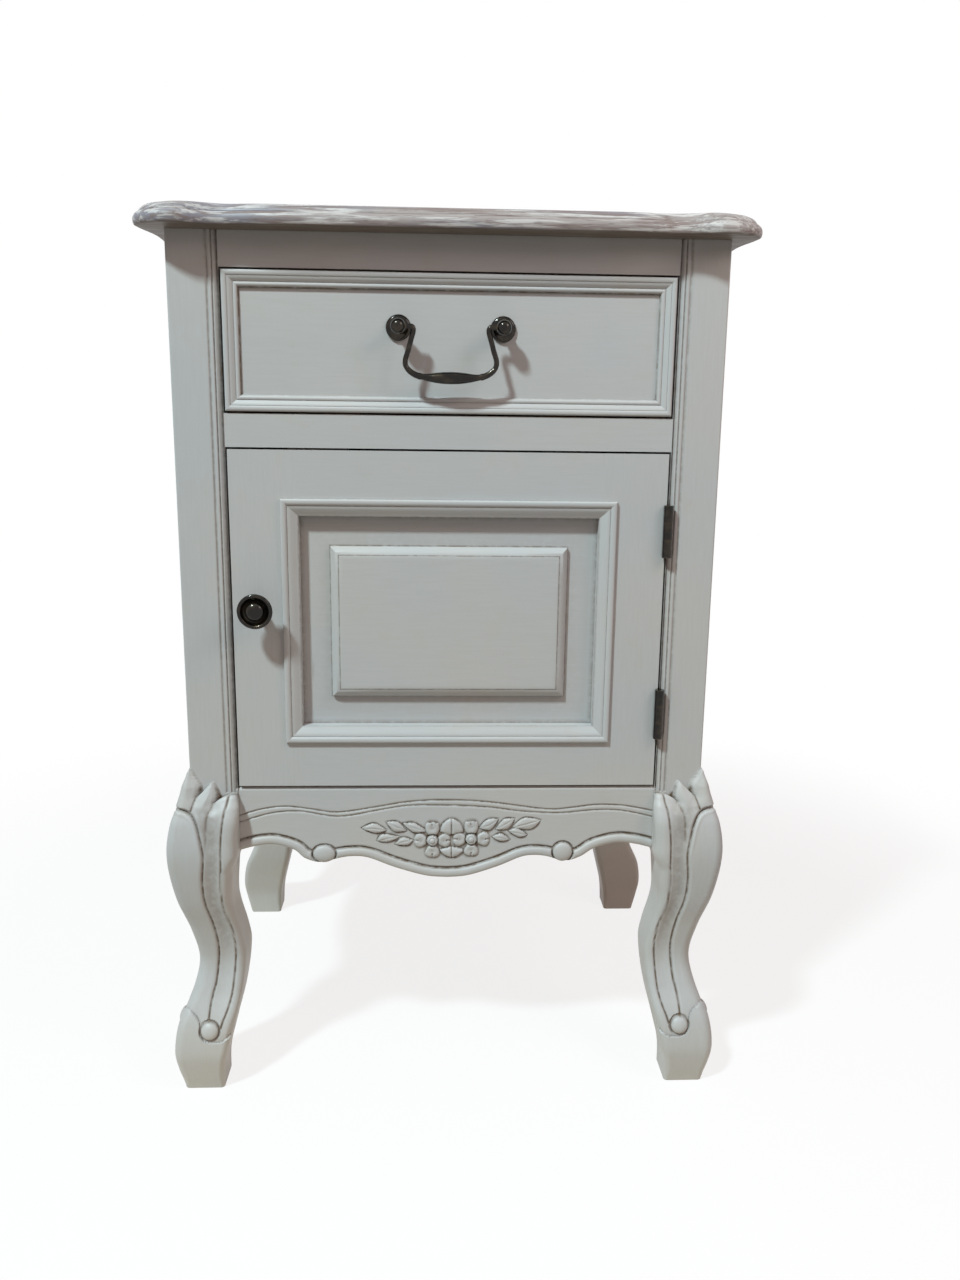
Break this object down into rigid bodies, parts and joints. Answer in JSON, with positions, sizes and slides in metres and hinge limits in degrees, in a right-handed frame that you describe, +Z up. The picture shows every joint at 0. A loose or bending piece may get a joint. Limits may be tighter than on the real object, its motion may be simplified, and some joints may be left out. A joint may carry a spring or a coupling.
{
  "type": "bedside pot cupboard",
  "caption": "Painted bedside cupboard with a drawer over a panelled door, a washed wood top, a carved apron and cabriole legs.",
  "frame": {"origin": "on the floor, under the middle of the object's bounding box", "axes": "+Z up, -Y towards the front with the drawer and door, +X to the right as seen from the front"},
  "size_m": [0.4474, 0.365, 0.69],
  "materials": {
    "paint": "antique off-white satin paint over wood, rubbed back to a brown glaze in creases and on edges",
    "washed_wood": "lime-washed wood, streaky grey, pink-brown and white grain along the width, satin",
    "bare_wood": "plain sanded wood",
    "antique_bronze": "dark antique brass, brighter where it is rubbed",
    "steel": "zinc-plated",
    "catch_plastic": "matt"
  },
  "bodies": {
    "carcass": {"top_panel": "washed_wood", "leg_front_left": "paint", "leg_front_right": "paint", "leg_back_left": "paint", "leg_back_right": "paint", "side_panel_left": "paint", "side_panel_right": "paint", "side_apron_left": "paint", "side_apron_right": "paint", "front_apron": "paint", "mid_rail": "paint", "frieze_rail": "paint", "back_top_rail": "paint", "back_bottom_rail": "paint", "back_panel": "bare_wood", "floor_panel": "paint", "floor_cleat_left": "bare_wood", "floor_cleat_right": "bare_wood", "drawer_runner_left": "bare_wood", "drawer_runner_right": "bare_wood", "kicker_left": "bare_wood", "kicker_right": "bare_wood", "drawer_stops": "bare_wood", "top_screws": "steel", "back_panel_screws": "steel", "hinge_upper_frame_leaf": "antique_bronze", "hinge_lower_frame_leaf": "antique_bronze", "hinge_upper_pin": "antique_bronze", "hinge_lower_pin": "antique_bronze", "hinge_frame_screws": "antique_bronze", "magnetic_catch": "catch_plastic"},
    "door": {"door_stile_left": "paint", "door_stile_right": "paint", "door_rail_top": "paint", "door_rail_bottom": "paint", "door_panel": "paint", "door_moulding_top": "paint", "door_moulding_bottom": "paint", "door_moulding_left": "paint", "door_moulding_right": "paint", "hinge_upper_door_leaf": "antique_bronze", "hinge_lower_door_leaf": "antique_bronze", "hinge_door_screws": "antique_bronze", "door_knob": "antique_bronze", "knob_screw": "steel", "catch_strike": "steel"},
    "drawer": {"drawer_front": "paint", "drawer_side_left": "bare_wood", "drawer_side_right": "bare_wood", "drawer_back": "bare_wood", "drawer_bottom": "bare_wood", "drawer_moulding_top": "paint", "drawer_moulding_bottom": "paint", "drawer_moulding_left": "paint", "drawer_moulding_right": "paint", "handle_post_left": "antique_bronze", "handle_post_right": "antique_bronze", "handle_screws": "steel"},
    "bail": {"bail": "antique_bronze"}
  },
  "joints": [
    {"name": "drawer_slide", "type": "slide", "parent": "carcass", "child": "drawer", "axis": [0, -1, 0], "range_m": [0, 0.2]},
    {"name": "bail_swing", "type": "hinge", "parent": "drawer", "child": "bail", "pos_m": [0, -0.168, 0.6095], "axis": [-1, 0, 0], "range_deg": [-15, 180]},
    {"name": "door_hinge", "type": "hinge", "parent": "carcass", "child": "door", "pos_m": [0.16575, -0.1618, 0.39], "axis": [0, 0, 1], "range_deg": [0, 170]}
  ]
}
